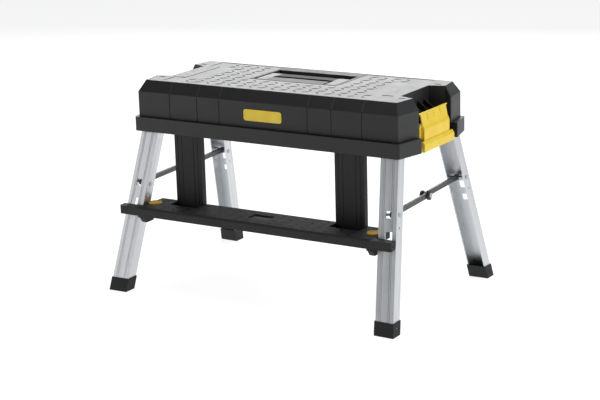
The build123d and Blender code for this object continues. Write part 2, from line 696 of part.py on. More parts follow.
def recess_fins():
    """Stiffening fins on the back wall of a latch recess."""
    x0, x1 = LATCH_RECESS_X - 1, LATCH_RECESS_X + FIN_REACH
    side = [(x0, FIN_LOW), (x1, FIN_LOW), (x1, FIN_LOW + 10), (x0, FIN_HIGH)]
    fins = None
    for y in FIN_Y:
        fin = xz_prism(side, y - FIN_T / 2, y + FIN_T / 2)
        fins = fin if fins is None else fins + fin
    return fins


def ear_slots():
    """Two blind slots in the top, beside a latch recess."""
    x0, x1, y0, y1, depth = EAR_SLOT
    slots = block(x0, x1, y0, y1, TOP - depth, TOP + 1)
    return slots + to_back(slots)


def lid_grooves():
    """Upright grooves in the lid's front and back walls."""
    half = GROOVE_W / 2
    face = LID_CORNER[1]
    cuts = None
    for x in FRONT_GROOVES:
        for centre in (x, -x):
            cut = block(centre - half, centre + half, -face - 1, face + 1, RIM_TOP, LID_SHOULDER)
            cuts = cut if cuts is None else cuts + cut
    inner = face - LID_GROOVE_DEPTH
    return cuts - block(-TOP_CORNER[0], TOP_CORNER[0], -inner, inner, RIM_TOP - 1, TOP)


def lid_shell():
    """Moulded lid with end recesses, front grooves and a seat for the handle panel."""
    inside = lid_inner()
    shell = lid_outer()
    for end in (to_right, to_left):
        shell -= end(latch_pocket(0))
        inside -= end(latch_pocket(WALL))
    shell -= inside
    for end in (to_right, to_left):
        shell += end(recess_fins())
        shell -= end(leg_room())
        shell -= end(ear_slots())
    shell -= block(-PANEL_X, PANEL_X, PANEL_Y[0], PANEL_Y[1], TOP - 12, TOP + 2)
    shell -= tread_region(0)
    return shell - lid_grooves()


def tread_region(gap):
    """The top's tread skin: a C shape around the handle panel."""
    top = TOP if gap else TOP + 1
    back = TREAD_Y - gap
    skin = block(-TREAD_X[0] + gap, TREAD_X[0] - gap, -back, back, TOP - TREAD, top)
    reach = TREAD_X[1] - gap
    skin += block(-reach, reach, -back, -EAR_Y - gap, TOP - TREAD, top)
    skin += block(-reach, reach, EAR_Y + gap, back, TOP - TREAD, top)
    return skin - block(-PANEL_X - gap, PANEL_X + gap, PANEL_Y[0] - gap, FAR, TOP - 5, TOP + 5)


def handle_panel():
    """Centre insert of the top, with the well that the handle folds into."""
    x1 = PANEL_X - PANEL_GAP
    y0, y1 = PANEL_Y[0] + PANEL_GAP, PANEL_Y[1] - PANEL_GAP
    panel = block(-x1, x1, y0, y1, TOP - WALL, TOP - 0.2)
    tub_x = WELL_HANDLE_X + WALL
    panel += block(-tub_x, tub_x, y0, WELL_HANDLE_Y[1] + WALL, HANDLE_FLOOR - WALL, TOP - 1)
    panel -= block(-WELL_HANDLE_X, WELL_HANDLE_X, WELL_HANDLE_Y[0], WELL_HANDLE_Y[1], HANDLE_FLOOR, TOP + 1)
    slot_floor = HANDLE_AXIS[1] - HANDLE_R - 2
    for side in (1, -1):
        x0, x1 = sorted((side * (ARM_X[0] - 2), side * (ARM_X[1] + 3)))
        panel -= block(x0, x1, HANDLE_AXIS[0] - HANDLE_R - 1.6, WELL_HANDLE_Y[0] + 1, slot_floor, TOP + 1)
        pin0, pin1 = sorted((side * (ARM_X[0] - 8), side * (ARM_X[1] + 8)))
        panel -= x_rod(HANDLE_AXIS[0], HANDLE_AXIS[1], HANDLE_PIN_R + RUN_GAP, pin0, pin1)
    panel -= block(-ARM_X[0] + 12, ARM_X[0] - 12, y0 + WALL, WELL_HANDLE_Y[0] - WALL, RIM_TOP, TOP - WALL)
    return panel


def carry_handle():
    """Bail handle: a grip and two arms on pins."""
    y0, z0 = HANDLE_AXIS
    low, high = z0 - HANDLE_R, z0 + HANDLE_R
    grip = block(-ARM_X[0], ARM_X[0], HANDLE_REACH - GRIP_DEPTH, HANDLE_REACH, low, high)
    bail = grip
    for side in (1, -1):
        x0, x1 = sorted((side * ARM_X[0], side * ARM_X[1]))
        bail += block(x0, x1, y0, HANDLE_REACH, low, high)
        bail += x_rod(y0, z0, HANDLE_R, x0, x1)
    bail = fillet(bail.edges().filter_by(Axis.X).group_by(Axis.Y)[-1], 4.0)
    for side in (1, -1):
        x0, x1 = sorted((side * (ARM_X[0] - 4), side * (ARM_X[1] + 4)))
        bail -= x_rod(y0, z0, HANDLE_PIN_R + RUN_GAP, x0, x1)
    return bail


def handle_pins():
    """The two pins that the handle turns on."""
    right = x_rod(HANDLE_AXIS[0], HANDLE_AXIS[1], HANDLE_PIN_R, ARM_X[0] - 7, ARM_X[1] + 5.5)
    return Compound([right, to_left(right)])


def badge():
    """Plain badge on the front of the lid."""
    half, low, high, proud, corner = BADGE
    face = -LID_CORNER[1]
    plate = block(-half, half, face - proud, face, low, high)
    return fillet(plate.edges().filter_by(Axis.Y), corner)


def latch():
    """End latch: a hinged bar, a leaning plate and two side flanges."""
    x, z = LATCH_AXIS
    inward, outward, below, above = LATCH_BAR
    body = block(x - inward, x + outward, -LATCH_BAR_Y, LATCH_BAR_Y, z - below, z + above)
    body = fillet(body.edges().filter_by(Axis.Y).group_by(Axis.Z)[0], 2.5)
    foot = z + above
    bend = foot + LATCH_NECK
    x1 = x + 2.5
    x0 = x1 - LATCH_T
    leaning = [(x0, foot - 2), (x1, foot - 2), (x1, bend), (x1 - LATCH_LEAN, LATCH_TOP),
               (x0 - LATCH_LEAN, LATCH_TOP), (x0, bend)]
    body += xz_prism(leaning, -LATCH_Y, LATCH_Y)
    for side in (1, -1):
        y0, y1 = sorted((side * (LATCH_Y - 9), side * (LATCH_Y + 1)))
        body -= block(x - 20, x + 20, y0, y1, LATCH_TOP - 17, LATCH_TOP + 1)
        y0, y1 = sorted((side * (LATCH_Y - 7), side * (LATCH_Y + 1)))
        body -= block(x - 20, x + 20, y0, y1, foot, foot + 6)
        y0, y1 = sorted((side * (LATCH_Y - 8), side * (LATCH_Y - 5)))
        body += block(x - 12, x, y0, y1, foot + 6, bend + 2)
    return body - y_rod(x, z, LATCH_PIN_R + RUN_GAP, -LATCH_BAR_Y - 5, LATCH_BAR_Y + 5)


def latch_pin():
    """Steel pin of an end latch, held in the tray's walls."""
    reach = POCKET_Y + LATCH_PIN_SEAT - 0.1
    return y_rod(LATCH_AXIS[0], LATCH_AXIS[1], LATCH_PIN_R, -reach, reach)


def rear_pin():
    """Pin that slides in the plates' slots and carries a rear leg."""
    return to_back(side_rod(REAR_PIVOT, PIN_R, INNER_N + 0.1, OUTER_N + PLATE - 0.1))


def front_pin():
    """Fixed pin that a front leg turns on, with a head inside the tray."""
    shank = side_rod(FRONT_PIVOT, PIN_R, INNER_N - WALL - 2, OUTER_N + PLATE)
    head_r, head_t = HINGE_PIN_HEAD
    head_n = INNER_N - WALL - 0.1
    return shank + side_rod(FRONT_PIVOT, head_r, head_n - head_t, head_n)


def build():
    """All the pieces, by node name."""
    nodes = {"base_tray": base_tray(), "lid_shell": lid_shell(), "top_tread": tread_region(TREAD_GAP)}
    nodes["handle_panel"] = handle_panel()
    nodes["carry_handle"] = carry_handle()
    nodes["handle_pins"] = handle_pins()
    nodes["front_badge"] = badge()
    nodes["step_board"] = step_board()
    nodes["step_tread"] = step_tread()
    right = {
        "leg_front": leg(FRONT_PIVOT, FRONT_SPREAD, FRONT_WINDOWS),
        "leg_rear": to_back(leg(REAR_PIVOT, REAR_SPREAD, REAR_WINDOWS)),
        "foot_front": foot_cap(FRONT_PIVOT),
        "foot_rear": to_back(foot_cap(REAR_PIVOT)),
        "spreader_rivet_front": rivet(FRONT_SPREAD),
        "spreader_rivet_rear": to_back(rivet(REAR_SPREAD)),
        "hinge_plate_outer": hinge_plate(OUTER_N),
        "hinge_plate_inner": hinge_plate(INNER_N),
        "front_hinge_pin": front_pin(),
        "rear_slide_pin": rear_pin(),
        "spreader_front": spreader_front(),
        "spreader_rear": spreader_rear(),
        "spreader_knuckle": knuckle(),
        "knuckle_bolt": knuckle_bolt(),
        "strut": strut(),
        "strut_pin": strut_pin(STRUT_TOP_Z),
        "step_pin": strut_pin(STEP_HINGE_Z),
        "step_end": step_end(),
        "release_button": button(),
        "lock_bolt": lock_bolt(),
        "end_latch": latch(),
        "latch_pin": latch_pin(),
    }
    for name, shape in right.items():
        nodes[name + "_right"] = shape
        nodes[name + "_left"] = to_left(shape)
    return nodes


os.makedirs("parts", exist_ok=True)
for node, shape in build().items():
    export_step(shape, f"parts/{node}.step")
print("rear pivot slides", round(SLIDE, 3), "mm; spreader half", round(SPREAD_HALF, 3), "mm")
print("front pivot", FRONT_PIVOT, "rear pivot", REAR_PIVOT)
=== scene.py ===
# %% [markdown]
# # A folding work platform bench
#
# The bench is a lidded tool box on folding aluminium legs. Its frame comes from CAD: every part is
# already in place, in metres, and turns on real joints. This lesson gives the parts their looks. It
# sets a camera and a studio, builds finishes from nodes, and models what the CAD leaves plain: the
# lozenges of the two treads, and the yellow end latches.

# %% Load the frame
import json
import math

import bmesh
import bpy
from mathutils import Matrix, Vector


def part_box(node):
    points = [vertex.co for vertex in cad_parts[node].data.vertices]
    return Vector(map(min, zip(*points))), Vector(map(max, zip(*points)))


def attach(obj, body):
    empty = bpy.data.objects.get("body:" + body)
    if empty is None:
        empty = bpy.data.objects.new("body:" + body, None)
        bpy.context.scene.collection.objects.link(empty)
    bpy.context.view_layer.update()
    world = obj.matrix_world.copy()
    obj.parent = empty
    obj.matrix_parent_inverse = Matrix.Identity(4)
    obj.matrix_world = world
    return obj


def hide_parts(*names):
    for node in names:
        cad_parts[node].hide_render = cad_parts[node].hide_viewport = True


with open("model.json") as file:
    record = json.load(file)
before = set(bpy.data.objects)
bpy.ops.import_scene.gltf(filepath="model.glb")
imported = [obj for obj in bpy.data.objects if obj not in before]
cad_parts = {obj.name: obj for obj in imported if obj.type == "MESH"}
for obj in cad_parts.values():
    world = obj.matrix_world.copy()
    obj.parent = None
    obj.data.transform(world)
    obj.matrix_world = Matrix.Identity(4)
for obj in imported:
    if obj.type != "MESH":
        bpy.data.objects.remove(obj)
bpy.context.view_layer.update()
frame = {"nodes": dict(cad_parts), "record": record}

MM = 0.001
nodes = frame["nodes"]

# %% [markdown]
# ## The camera
#
# A long lens stands well back, so that the legs hardly converge. Yaw, pitch and roll are easier to
# read than a matrix, so the matrix is worked out from them: a camera looks along its own -Z, with
# +X to the right and +Y up.

# %% Camera
CAMERA_AT = Vector((1.8790, -3.0511, 1.1485))
YAW, PITCH, ROLL = 0.552109, 0.260313, -0.026782
LENS = 98.76


def make_camera():
    """A camera at its place, turned by yaw, pitch and roll."""
    ahead = Vector((-math.sin(YAW) * math.cos(PITCH), math.cos(YAW) * math.cos(PITCH), -math.sin(PITCH)))
    level = Vector((math.cos(YAW), math.sin(YAW), 0.0))
    above = level.cross(ahead)
    right = math.cos(ROLL) * level + math.sin(ROLL) * above
    up = -math.sin(ROLL) * level + math.cos(ROLL) * above
    data = bpy.data.cameras.new("studio_camera")
    data.lens = LENS
    data.sensor_width = 36.0
    camera = bpy.data.objects.new("studio_camera", data)
    camera.matrix_world = Matrix.Translation(CAMERA_AT) @ Matrix((right, up, -ahead)).transposed().to_4x4()
    bpy.context.scene.collection.objects.link(camera)
    bpy.context.scene.camera = camera


make_camera()
print("camera", round(CAMERA_AT.length, 2), "m from the origin")

# %% [markdown]
# ## Studio light
#
# Black plastic shows its shape by what it reflects. The treaded top is seen at a low angle, so a
# wide lamp low behind the bench turns it light grey. The front stays dark, because only a weak fill
# stands before it, off to the left. A softbox on the right lifts the end faces and the latch. The
# world is white to the eye but lights the bench with less, which keeps the blacks deep.

# %% Lamps
CENTRE = Vector((0.0, 0.0, 0.3))
WHITE = (1.0, 1.0, 1.0)
COOL = (0.92, 0.95, 1.0)


def lamp(name, place, size, power, colour=WHITE):
    """A rectangular softbox that faces the bench."""
    data = bpy.data.lights.new(name, "AREA")
    data.shape = "RECTANGLE"
    data.size, data.size_y = size
    data.energy = power
    data.color = colour
    light = bpy.data.objects.new(name, data)
    light.location = place
    light.rotation_euler = (CENTRE - Vector(place)).to_track_quat("-Z", "Y").to_euler()
    light.visible_camera = False
    bpy.context.scene.collection.objects.link(light)


lamp("back_softbox", (-1.05, 2.95, 1.45), (3.4, 1.3), 60.0)
lamp("right_softbox", (2.6, 0.5, 1.2), (1.8, 1.8), 28.0, COOL)
lamp("overhead", (0.0, 0.3, 2.6), (2.6, 2.2), 46.0)
lamp("front_fill", (-2.5, -2.1, 0.8), (1.6, 1.4), 13.0)

# %% World
SEEN_WORLD = 1.0
CAST_WORLD = 0.13


def make_world():
    """A plain world that looks white and lights the scene with less."""
    world = bpy.data.worlds.new("studio")
    world.use_nodes = True
    tree = world.node_tree
    shown = tree.nodes["Background"]
    shown.inputs["Strength"].default_value = SEEN_WORLD
    shown.inputs["Color"].default_value = (*WHITE, 1.0)
    lit = tree.nodes.new("ShaderNodeBackground")
    lit.inputs["Color"].default_value = (0.93, 0.96, 1.0, 1.0)
    lit.inputs["Strength"].default_value = CAST_WORLD
    path = tree.nodes.new("ShaderNodeLightPath")
    mix = tree.nodes.new("ShaderNodeMixShader")
    tree.links.new(path.outputs["Is Camera Ray"], mix.inputs[0])
    tree.links.new(lit.outputs[0], mix.inputs[1])
    tree.links.new(shown.outputs[0], mix.inputs[2])
    tree.links.new(mix.outputs[0], tree.nodes["World Output"].inputs["Surface"])
    bpy.context.scene.world = world


make_world()
bpy.context.scene.view_settings.view_transform = "Standard"
print("world", SEEN_WORLD, "to the camera,", CAST_WORLD, "to the bench")

# %% [markdown]
# ## Finishes as expressions
#
# A finish is a small sum: grain plus scuffs, masked by edges. Written with wired nodes the sum is
# hard to read, so one class stands for a socket and Python's operators add the Math nodes. Anything
# that isn't arithmetic comes from `Finish.node`.

# %% Field and Finish


class Field:
    """A value that varies over a surface."""

    def __init__(self, finish, socket):
        self.finish = finish
        self.socket = socket

    def sum_with(self, operation, first, second):
        return self.finish.node("ShaderNodeMath", {"operation": operation}, {0: first, 1: second})

    def __add__(self, other):
        return self.sum_with("ADD", self, other)

    def __radd__(self, other):
        return self.sum_with("ADD", other, self)

    def __sub__(self, other):
        return self.sum_with("SUBTRACT", self, other)

    def __rsub__(self, other):
        return self.sum_with("SUBTRACT", other, self)

    def __mul__(self, other):
        return self.sum_with("MULTIPLY", self, other)

    def __rmul__(self, other):
        return self.sum_with("MULTIPLY", other, self)


class Finish:
    """A material with a Principled shader, filled in by expressions."""

    def __init__(self, name, **constants):
        self.material = bpy.data.materials.new(name)
        self.material.use_nodes = True
        self.tree = self.material.node_tree
        self.shader = self.tree.nodes["Principled BSDF"]
        for title, value in constants.items():
            self.shader.inputs[title.replace("_", " ")].default_value = value

    def plug(self, socket, value):
        """Links a field to a socket, or sets a plain value on it."""
        if isinstance(value, Field):
            self.tree.links.new(value.socket, socket)
        else:
            socket.default_value = value

    def node(self, kind, settings=None, sockets=None, output=0):
        """Any node: its settings first, then the values or links of its sockets."""
        made = self.tree.nodes.new(kind)
        for name, value in (settings or {}).items():
            setattr(made, name, value)
        for name, value in (sockets or {}).items():
            self.plug(made.inputs[name], value)
        return Field(self, made.outputs[output])

    def surface(self, **fields):
        """Feeds the shader's sockets, such as Base_Color or Roughness."""
        for title, value in fields.items():
            self.plug(self.shader.inputs[title.replace("_", " ")], value)
        return self.material


print("reflected operators", [name for name in dir(Field) if name in ("__radd__", "__rsub__", "__rmul__")])

# %% [markdown]
# ## Shared texture
#
# Every finish reads the place in the bench's own frame, in metres, so a grain of half a millimetre is noise
# at a scale of about 2000. The edge mask compares the true normal with one rounded by a small bevel: the two
# differ only near an edge, where use polishes and scuffs a real surface. On the yellow parts the same edge
# mask carries a painted highlight.

# %% Grain, scuffs, edges and bump
EDGE_TURN = (0.02, 0.22)


def place(finish):
    """The point on the surface, in metres."""
    return finish.node("ShaderNodeTexCoord", output="Object")


def facing(finish):
    """The direction that the surface faces."""
    return finish.node("ShaderNodeNewGeometry", output="Normal")


def along(finish, vector, axis):
    """One coordinate of a point or a direction."""
    return finish.node("ShaderNodeSeparateXYZ", {}, {"Vector": vector}, axis)


def absolute(finish, field):
    """A field with its sign dropped."""
    return finish.node("ShaderNodeMath", {"operation": "ABSOLUTE"}, {0: field})


def stretched(finish, scale):
    """The point with each axis scaled, for streaks."""
    return finish.node("ShaderNodeMapping", {}, {"Vector": place(finish), "Scale": scale})


def noise(finish, scale, detail=2.0, at=None):
    """Soft random spots, from 0 to 1."""
    sockets = {"Vector": at or place(finish), "Scale": scale, "Detail": detail}
    return finish.node("ShaderNodeTexNoise", {}, sockets)


def between(finish, field, low, high):
    """0 below low, 1 above high and a ramp in between."""
    sockets = {"Value": field, "From Min": low, "From Max": high}
    return finish.node("ShaderNodeMapRange", {"clamp": True}, sockets)


def edge_wear_and_glint(finish, radius):
    """1 along sharp edges, 0 on open faces."""
    rounded = finish.node("ShaderNodeBevel", {"samples": 4}, {"Radius": radius})
    sockets = {0: rounded, 1: facing(finish)}
    same = finish.node("ShaderNodeVectorMath", {"operation": "DOT_PRODUCT"}, sockets, "Value")
    return between(finish, 1.0 - same, *EDGE_TURN)


def blend(finish, share, first, second):
    """A colour between two, by a field."""
    sockets = {"Factor": share, 6: first, 7: second}
    return finish.node("ShaderNodeMix", {"data_type": "RGBA"}, sockets, 2)


def bump(finish, heights, strength, distance, radius=0.0):
    """A normal from a height field, over an edge softened by a bevel."""
    sockets = {"Height": heights, "Strength": strength, "Distance": distance}
    if radius:
        sockets["Normal"] = finish.node("ShaderNodeBevel", {"samples": 4}, {"Radius": radius})
    return finish.node("ShaderNodeBump", {}, sockets)


def grey(value, tint=0.0):
    """A neutral colour, a little blue where tint is above 0."""
    return (value, value * (1.0 + tint * 0.4), value * (1.0 + tint), 1.0)


print("a cool grey", [round(channel, 3) for channel in grey(0.5, 0.05)])

# %% [markdown]
# ## Moulded plastic
#
# The box, step and struts are polypropylene out of a spark-eroded tool: an even fine grain, very
# dark, with grey scuffs where things rub and a faint polish on the edges. One recipe makes them
# all, and its arguments say how light, how rough and how scuffed each is.

# %% Black mouldings
PLASTIC_IOR = 1.49
SPARK_GRAIN = 1900.0


def spark_texture(finish, grain=SPARK_GRAIN):
    """Fine grain, broad clouds and long scuffs, each from 0 to 1."""
    spots = noise(finish, grain, 3.0)
    cloud = noise(finish, 26.0, 4.0)
    scuffed = noise(finish, 60.0, 5.0, stretched(finish, (0.5, 3.0, 1.6)))
    return spots, cloud, between(finish, scuffed, 0.66, 0.74)


def moulded(name, shade, gloss, scuff, grain=SPARK_GRAIN, layer=None):
    """Spark-grained black plastic with scuffs, rubbed edges and a layer of its own."""
    finish = Finish(name, IOR=PLASTIC_IOR)
    spots, cloud, streak = spark_texture(finish, grain)
    edge = edge_wear_and_glint(finish, 1.2 * MM)
    marks = streak * scuff + edge * 0.35 * noise(finish, 220.0)
    colour = blend(finish, marks, grey(shade, 0.05), grey(shade * 3.2 + 0.03, 0.05))
    rough = gloss + 0.12 * cloud + 0.1 * spots - 0.1 * edge
    heights = spots + 0.4 * streak
    if layer:
        colour, rough, heights = layer(finish, colour, rough, heights)
    normal = bump(finish, heights, 0.22, 0.4 * MM, 1.1 * MM)
    return finish.surface(Base_Color=colour, Roughness=rough, Normal=normal)


finishes = {
    "black_moulding": moulded("black_moulding", 0.0070, 0.38, 0.05),
    "step_moulding": moulded("step_moulding", 0.0075, 0.55, 0.06),
    "strut_plastic": moulded("strut_plastic", 0.0045, 0.50, 0.03),
    "black_rubber": moulded("black_rubber", 0.007, 0.58, 0.12, 1200.0),
}
print("mouldings", sorted(finishes))

# %% [markdown]
# ## The lid
#
# The lid is the same black plastic with two things more. Its upward faces at the top are painted the lighter
# grey of the tread, a painted sheen, and the grooves of its front run on up the sloping band below the top,
# as a bump with a painted highlight along each line. Both depend on height, so they are a layer that goes
# over the plain moulding.

# %% The lid's layer
# The top's grey, lighter than the black mouldings, is partly painted sheen.
TOP_SHADE = 0.060
TOP_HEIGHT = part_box("top_tread")[1].z
BAND_HEIGHT = 22.5 * MM
GROOVES_X = (112.0 * MM, 170.5 * MM, 244.0 * MM)
GROOVE_HALF = 1.3 * MM
LEVEL = (0.90, 0.995)


def groove_and_glint_lines(finish):
    """1 on the groove lines, at each place along the lid and its mirror."""
    reach = absolute(finish, along(finish, place(finish), "X"))
    total = 0.0
    for x in GROOVES_X:
        off = absolute(finish, reach - x)
        total = total + (1.0 - between(finish, off, GROOVE_HALF * 0.6, GROOVE_HALF))
    return total


def lid_layer(finish, colour, rough, heights):
    """A top painted lighter grey as sheen, and grooves with a painted highlight on the band below it."""
    height = along(finish, place(finish), "Z")
    level = between(finish, along(finish, facing(finish), "Z"), *LEVEL)
    # Painted sheen: faces that look up at the top take the tread's lighter grey.
    painted_top_sheen = between(finish, height, TOP_HEIGHT - 2.5 * MM, TOP_HEIGHT - 2.0 * MM) * level
    band_foot = TOP_HEIGHT - BAND_HEIGHT
    lines = groove_and_glint_lines(finish) * between(finish, height, band_foot, band_foot + 1.0 * MM) * (1.0 - painted_top_sheen)
    colour = blend(finish, painted_top_sheen, colour, grey(TOP_SHADE, 0.05))
    # Painted highlight: the groove lines are painted a lighter grey than the band; their bump is real shape.
    colour = blend(finish, lines * 0.8, colour, grey(0.035))
    return colour, rough - 0.07 * painted_top_sheen, heights - 2.5 * lines


finishes["lid_moulding"] = moulded("lid_moulding", 0.0065, 0.38, 0.05, layer=lid_layer)
print("lid top at", round(TOP_HEIGHT / MM, 1), "mm, grooves at", [round(x / MM, 1) for x in GROOVES_X])

# %% [markdown]
# ## The handle
#
# The carrying handle is moulded in two shots: grey arms, and a dark grip between them with fine
# ribs for the fingers. The ribs are a sine wave along the grip in the bump, too fine to model.

# %% Handle finish
GRIP_HALF = 74.0 * MM
RIB_WAVE = 1400.0  # radians for each metre


def two_shot_handle(name, shade, gloss):
    """Grey arms and a dark, ribbed grip between them."""
    finish = Finish(name, IOR=PLASTIC_IOR)
    spots = noise(finish, SPARK_GRAIN, 3.0)
    across = along(finish, place(finish), "X")
    grip = 1.0 - between(finish, absolute(finish, across), GRIP_HALF - 0.6 * MM, GRIP_HALF)
    ribs = finish.node("ShaderNodeMath", {"operation": "SINE"}, {0: across * RIB_WAVE})
    colour = blend(finish, grip, grey(shade, 0.05), grey(shade * 0.12))
    rough = gloss + 0.1 * spots + 0.25 * grip
    normal = bump(finish, spots + 0.7 * ribs * grip, 0.3, 0.5 * MM, 1.4 * MM)
    return finish.surface(Base_Color=colour, Roughness=rough, Normal=normal)


finishes["grip_plastic"] = two_shot_handle("grip_plastic", TOP_SHADE, 0.34)
print("ribs", round(2 * math.pi / RIB_WAVE / MM, 1), "mm apart")

# %% [markdown]
# ## The treads' finish
#
# On a tread the crowns of the lozenges are rubbed matt, and their sloping flanks are darkened with painted
# shade. The crowns are found by height and the flanks by slope, so the finish follows the modelled shape. The
# step's crowns are level with its skin, so there the whole top face takes the crowns' finish.

# %% Tread finish


def treaded(name, shade, gloss, crown):
    """A moulded tread with matt crowns and flanks darkened by painted shade."""
    finish = Finish(name, IOR=PLASTIC_IOR)
    spots, cloud, streak = spark_texture(finish)
    raised = between(finish, along(finish, place(finish), "Z"), crown - 0.3 * MM, crown - 0.1 * MM)
    # Painted shade: the sloping flanks of the lozenges are painted darker.
    painted_flank_shade = 1.0 - between(finish, along(finish, facing(finish), "Z"), *LEVEL)
    colour = blend(finish, streak * 0.10, grey(shade, 0.05), grey(shade * 2.4 + 0.03, 0.05))
    colour = blend(finish, raised * 0.45 + painted_flank_shade * 0.5, colour, grey(shade * 0.25))
    rough = gloss + 0.12 * cloud + 0.1 * spots + 0.22 * raised
    normal = bump(finish, spots + 0.4 * streak, 0.22, 0.4 * MM)
    return finish.surface(Base_Color=colour, Roughness=rough, Normal=normal)


finishes["tread_plastic"] = treaded("tread_plastic", TOP_SHADE, 0.30, TOP_HEIGHT)
finishes["step_tread_plastic"] = treaded("step_tread_plastic", 0.011, 0.42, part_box("step_tread")[1].z)
print("finishes so far", len(finishes))

# %% [markdown]
# ## Yellow plastic
#
# The yellow parts are a harder, glossier plastic, coloured through. Light passes a little way into it, which
# softens its shadows, so it has a small subsurface share. Fine scratches run over it, and its edges are paler
# with a painted highlight. The release buttons are the same recipe, deeper in colour and more matt; their
# deeper colour is partly painted shade of the recesses they sit in.

# %% Yellow plastic
LEMON = ((0.84, 0.58, 0.030, 1.0), (0.90, 0.65, 0.045, 1.0))
# The buttons' deeper amber is partly painted shade of the recesses they sit in.
RECESS_SHADED_AMBER = ((0.66, 0.36, 0.006, 1.0), (0.76, 0.43, 0.012, 1.0))
# Paler yellow for the scratches, and for the painted highlight on the edges.
SCRATCH_AND_GLINT_YELLOW = (0.95, 0.80, 0.20, 1.0)


def yellow(name, deep, light, gloss):
    """Satin yellow, clouded between two shades, paler on its edges as a painted highlight."""
    finish = Finish(name, IOR=1.5, Subsurface_Weight=0.06, Subsurface_Scale=0.004)
    cloud = noise(finish, 40.0, 4.0)
    spots = noise(finish, 2400.0, 2.0)
    scratch = between(finish, noise(finish, 90.0, 6.0, stretched(finish, (4.0, 0.6, 5.0))), 0.68, 0.73)
    edge = edge_wear_and_glint(finish, 0.9 * MM)
    body = blend(finish, between(finish, cloud, 0.35, 0.7), deep, light)
    # Painted highlight: the edges are blended to the paler yellow; the scratches take it too.
    colour = blend(finish, edge * 0.3 + scratch * 0.12, body, SCRATCH_AND_GLINT_YELLOW)
    normal = bump(finish, spots + 0.5 * scratch, 0.1, 0.3 * MM, 0.8 * MM)
    return finish.surface(Base_Color=colour, Roughness=gloss + 0.1 * spots + 0.08 * cloud, Normal=normal)


finishes["yellow_plastic"] = yellow("yellow_plastic", *LEMON, 0.34)
finishes["button_plastic"] = yellow("button_plastic", *RECESS_SHADED_AMBER, 0.58)
print("yellows", LEMON[0][:3], RECESS_SHADED_AMBER[0][:3])

# %% [markdown]
# ## Aluminium and steel
#
# A leg is an extrusion, so its fine lines run along it. Each of the four legs leans its own way, so
# the noise is measured across the leg and hardly at all along it: dot products with three
# directions give those distances. Spreaders are coated steel, and the small parts are zinc plated.

# %% Drawn aluminium
LINE_STRETCH = 0.012
SPLAY_X, SPLAY_Y = 0.102, 0.287  # how far a leg leans for each metre of its height


def across_and_along(axis):
    """Two unit vectors square to an axis, and the axis itself, shortened to stretch the lines."""
    axis = Vector(axis).normalized()
    first = axis.cross(Vector((0, 1, 0))).normalized()
    return first, axis.cross(first), axis * LINE_STRETCH


def drawn_aluminium(name, axis):
    """Extruded aluminium with die lines along the leg and a soft oxide haze."""
    finish = Finish(name, Metallic=1.0)
    parts = {}
    for socket, direction in zip("XYZ", across_and_along(axis)):
        sockets = {0: place(finish), 1: tuple(direction)}
        parts[socket] = finish.node("ShaderNodeVectorMath", {"operation": "DOT_PRODUCT"}, sockets, "Value")
    lengthwise = finish.node("ShaderNodeCombineXYZ", {}, parts)
    lines = noise(finish, 1500.0, 3.0, lengthwise)
    bands = noise(finish, 160.0, 2.0, lengthwise)
    haze = noise(finish, 30.0, 4.0)
    dents = between(finish, noise(finish, 210.0, 3.0), 0.72, 0.78)
    edge = edge_wear_and_glint(finish, 0.8 * MM)
    base = blend(finish, between(finish, bands + 0.3 * haze, 0.4, 0.9), grey(0.56, 0.05), grey(0.70, 0.05))
    colour = blend(finish, edge * 0.5 + dents * 0.15, base, grey(0.86, 0.02))
    rough = 0.30 + 0.14 * lines + 0.1 * haze - 0.06 * edge
    normal = bump(finish, lines + 0.6 * dents, 0.14, 0.3 * MM, 0.6 * MM)
    return finish.surface(Base_Color=colour, Roughness=rough, Normal=normal)


leg_finish = {}
for end, side in (("right", 1), ("left", -1)):
    for row, depth in (("front", -1), ("rear", 1)):
        axis = (side * SPLAY_X, depth * SPLAY_Y, -1.0)
        leg_finish[f"leg_{row}_{end}"] = drawn_aluminium(f"aluminium_{row}_{end}", axis)
print("legs", sorted(leg_finish))

# %% Coated and plated steel


def plated(name, shade, roughness, metal):
    """Steel under a thin coat: zinc where metal is 1, dark paint where it is lower."""
    finish = Finish(name)
    cloud = noise(finish, 70.0, 4.0)
    spots = noise(finish, 1400.0, 2.0)
    edge = edge_wear_and_glint(finish, 0.8 * MM)
    chips = edge * between(finish, noise(finish, 300.0, 4.0), 0.5, 0.6)
    colour = blend(finish, chips, grey(shade, 0.04), grey(0.5, 0.02))
    colour = blend(finish, cloud * 0.25, colour, grey(shade * 0.7))
    rough = roughness + 0.12 * cloud + 0.08 * spots
    normal = bump(finish, spots + cloud, 0.12, 0.3 * MM, 0.7 * MM)
    metallic = metal + (1.0 - metal) * chips
    return finish.surface(Base_Color=colour, Roughness=rough, Metallic=metallic, Normal=normal)


finishes["spreader_steel"] = plated("spreader_steel", 0.10, 0.36, 0.55)
finishes["zinc_steel"] = plated("zinc_steel", 0.50, 0.30, 1.0)
print("finishes", len(finishes) + len(leg_finish))

# %% [markdown]
# ## Painting the CAD parts
#
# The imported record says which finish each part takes, so a loop hands them out. A few parts have a
# finish of their own, which still counts as the record's. The CAD meshes stay as they are. Their
# faces are exact, so only their edges need help, and the rounded normal in most finishes gives it.

# %% Paint the parts
own_finish = {"lid_shell": finishes["lid_moulding"], "carry_handle": finishes["grip_plastic"],
              "step_board": finishes["step_moulding"], **leg_finish}
for end in ("left", "right"):
    own_finish[f"step_end_{end}"] = finishes["step_moulding"]
    own_finish[f"release_button_{end}"] = finishes["button_plastic"]

for row in frame["record"]["subparts"]:
    part = nodes[row["node"]]
    material = own_finish.get(row["node"]) or finishes[row["material_slot"]]
    part.data.materials.clear()
    part.data.materials.append(material)

